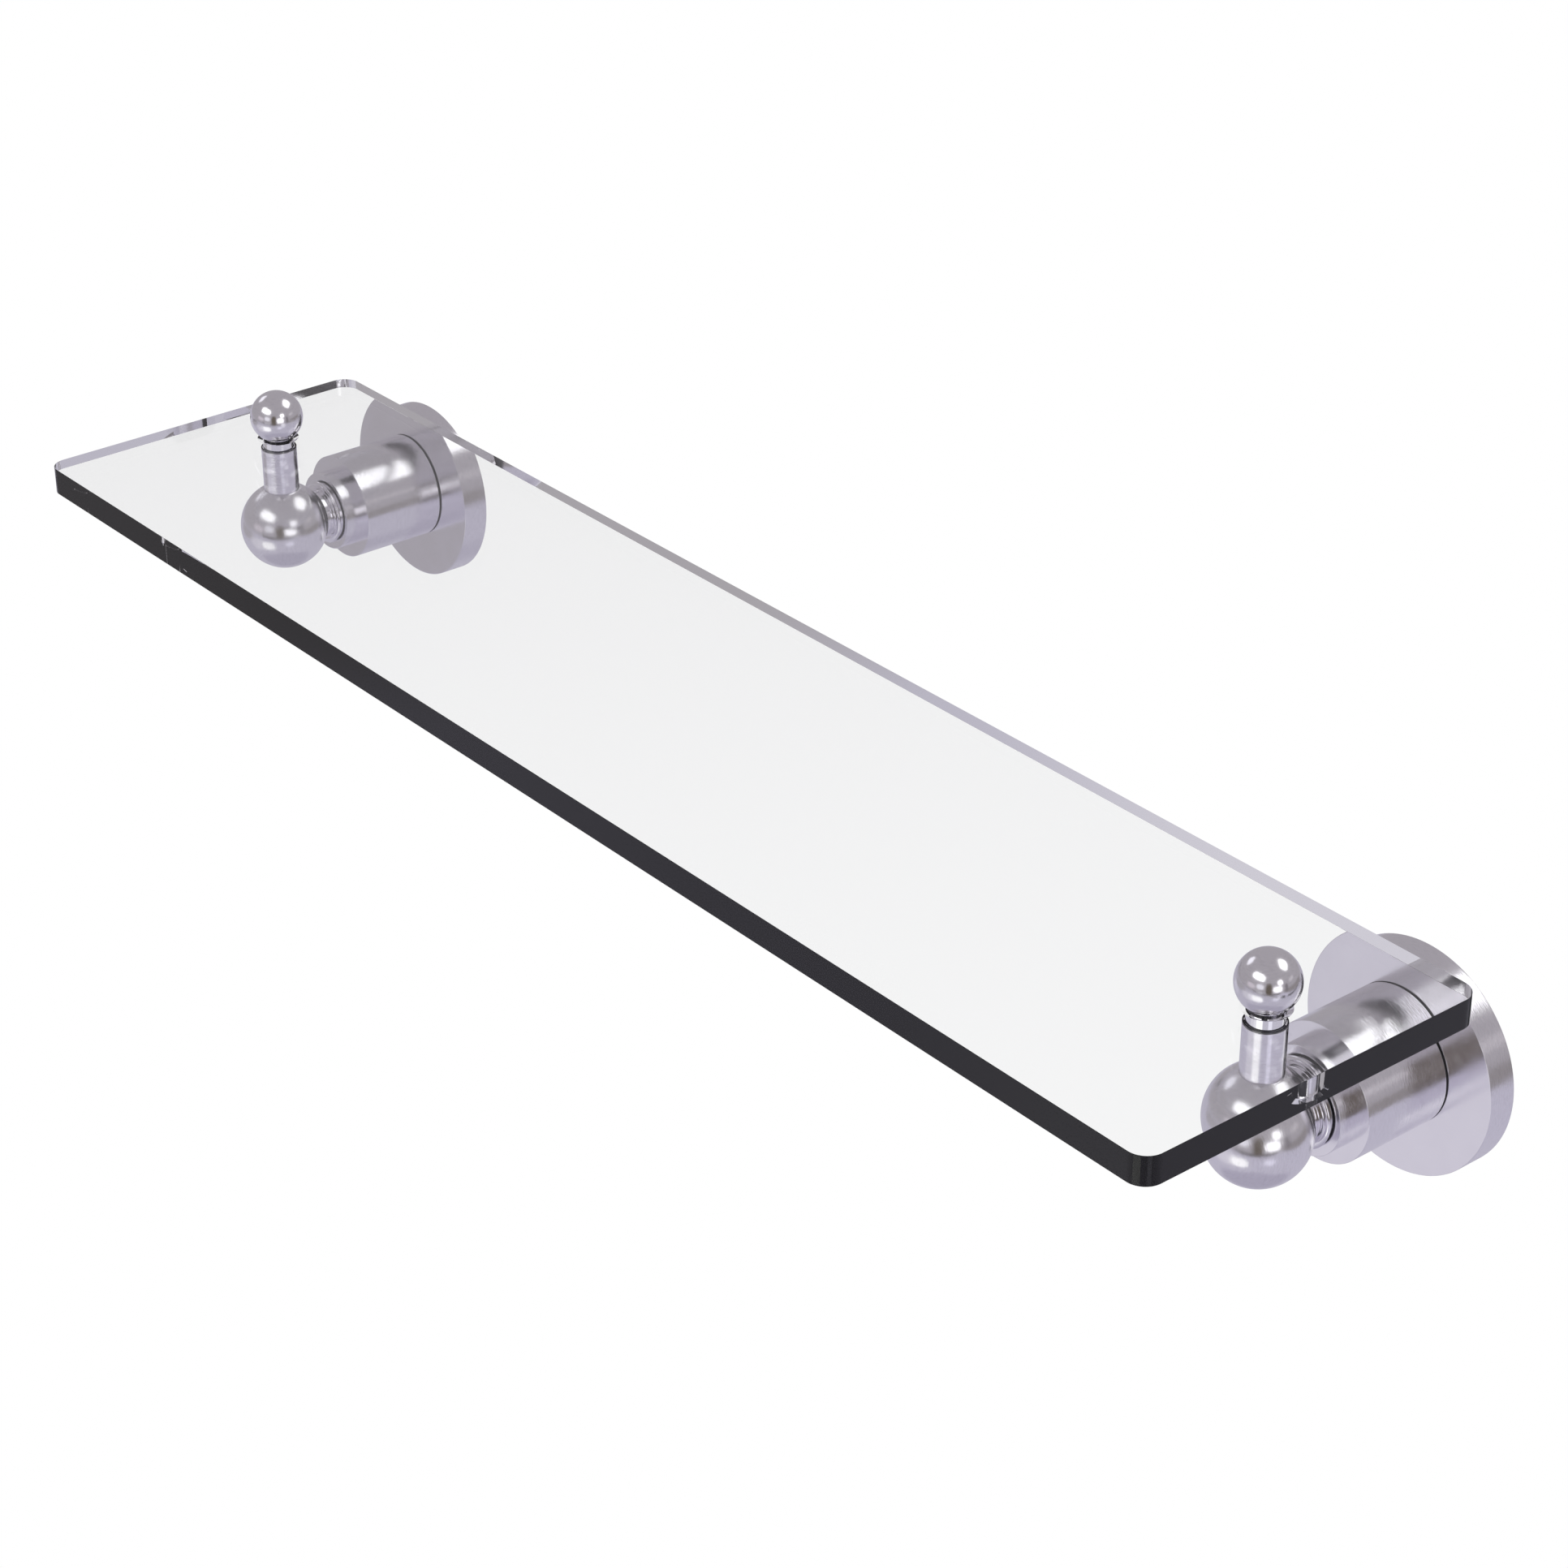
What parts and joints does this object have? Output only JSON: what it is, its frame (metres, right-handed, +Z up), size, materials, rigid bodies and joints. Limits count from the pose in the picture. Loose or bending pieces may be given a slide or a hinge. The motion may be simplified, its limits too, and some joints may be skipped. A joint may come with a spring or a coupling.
{
  "type": "glass wall shelf with brackets",
  "caption": "Clear glass wall shelf with rounded corners on turned satin metal brackets with round wall flanges, stepped arms, balls and screw-down ball finials.",
  "frame": {"origin": "on the wall plane, midway between the two brackets, at the height of the bracket arms", "axes": "+X along the shelf to the right as seen from the room, +Y into the wall, +Z up"},
  "size_m": [0.5652, 0.1416, 0.093],
  "materials": {
    "clear_glass": "polished clear",
    "satin_metal": "fine brushed satin, slightly cool",
    "smooth_metal": "soft polished",
    "zinc_steel": "bright zinc plated",
    "black_rubber": "matte black",
    "clear_plastic": "clear, slightly cloudy"
  },
  "bodies": {
    "shelf_and_brackets": {"glass_shelf": "clear_glass", "left_wall_plate": "zinc_steel", "left_flange": "satin_metal", "left_flange_grub_screw": "zinc_steel", "left_tie_rod": "zinc_steel", "left_tie_rod_washer": "zinc_steel", "left_tie_rod_nut": "zinc_steel", "left_barrel_gasket": "black_rubber", "left_barrel": "satin_metal", "left_collar": "satin_metal", "left_beaded_neck": "satin_metal", "left_ball": "smooth_metal", "left_post": "satin_metal", "left_glass_washer": "clear_plastic", "right_wall_plate": "zinc_steel", "right_flange": "satin_metal", "right_flange_grub_screw": "zinc_steel", "right_tie_rod": "zinc_steel", "right_tie_rod_washer": "zinc_steel", "right_tie_rod_nut": "zinc_steel", "right_barrel_gasket": "black_rubber", "right_barrel": "satin_metal", "right_collar": "satin_metal", "right_beaded_neck": "satin_metal", "right_ball": "smooth_metal", "right_post": "satin_metal", "right_glass_washer": "clear_plastic"},
    "left_finial_lift": {"left_finial_stud": "zinc_steel"},
    "left_finial_ball": {"left_finial": "smooth_metal"},
    "right_finial_lift": {"right_finial_stud": "zinc_steel"},
    "right_finial_ball": {"right_finial": "smooth_metal"}
  },
  "joints": [
    {"name": "left_finial_rise", "type": "slide", "parent": "shelf_and_brackets", "child": "left_finial_lift", "axis": [0, 0, 1], "range_m": [0, 0.00794]},
    {"name": "left_finial_turn", "type": "hinge", "parent": "left_finial_lift", "child": "left_finial_ball", "pos_m": [-0.24765, -0.06542, 0.0486], "axis": [0, 0, 1], "range_deg": [0, 3600]},
    {"name": "right_finial_rise", "type": "slide", "parent": "shelf_and_brackets", "child": "right_finial_lift", "axis": [0, 0, 1], "range_m": [0, 0.00794]},
    {"name": "right_finial_turn", "type": "hinge", "parent": "right_finial_lift", "child": "right_finial_ball", "pos_m": [0.24765, -0.06542, 0.0486], "axis": [0, 0, 1], "range_deg": [0, 3600]}
  ],
  "couplings": [
    {"joint": "left_finial_turn", "follows": "left_finial_rise", "rad_per_m": 7915.8},
    {"joint": "right_finial_turn", "follows": "right_finial_rise", "rad_per_m": 7915.8}
  ]
}
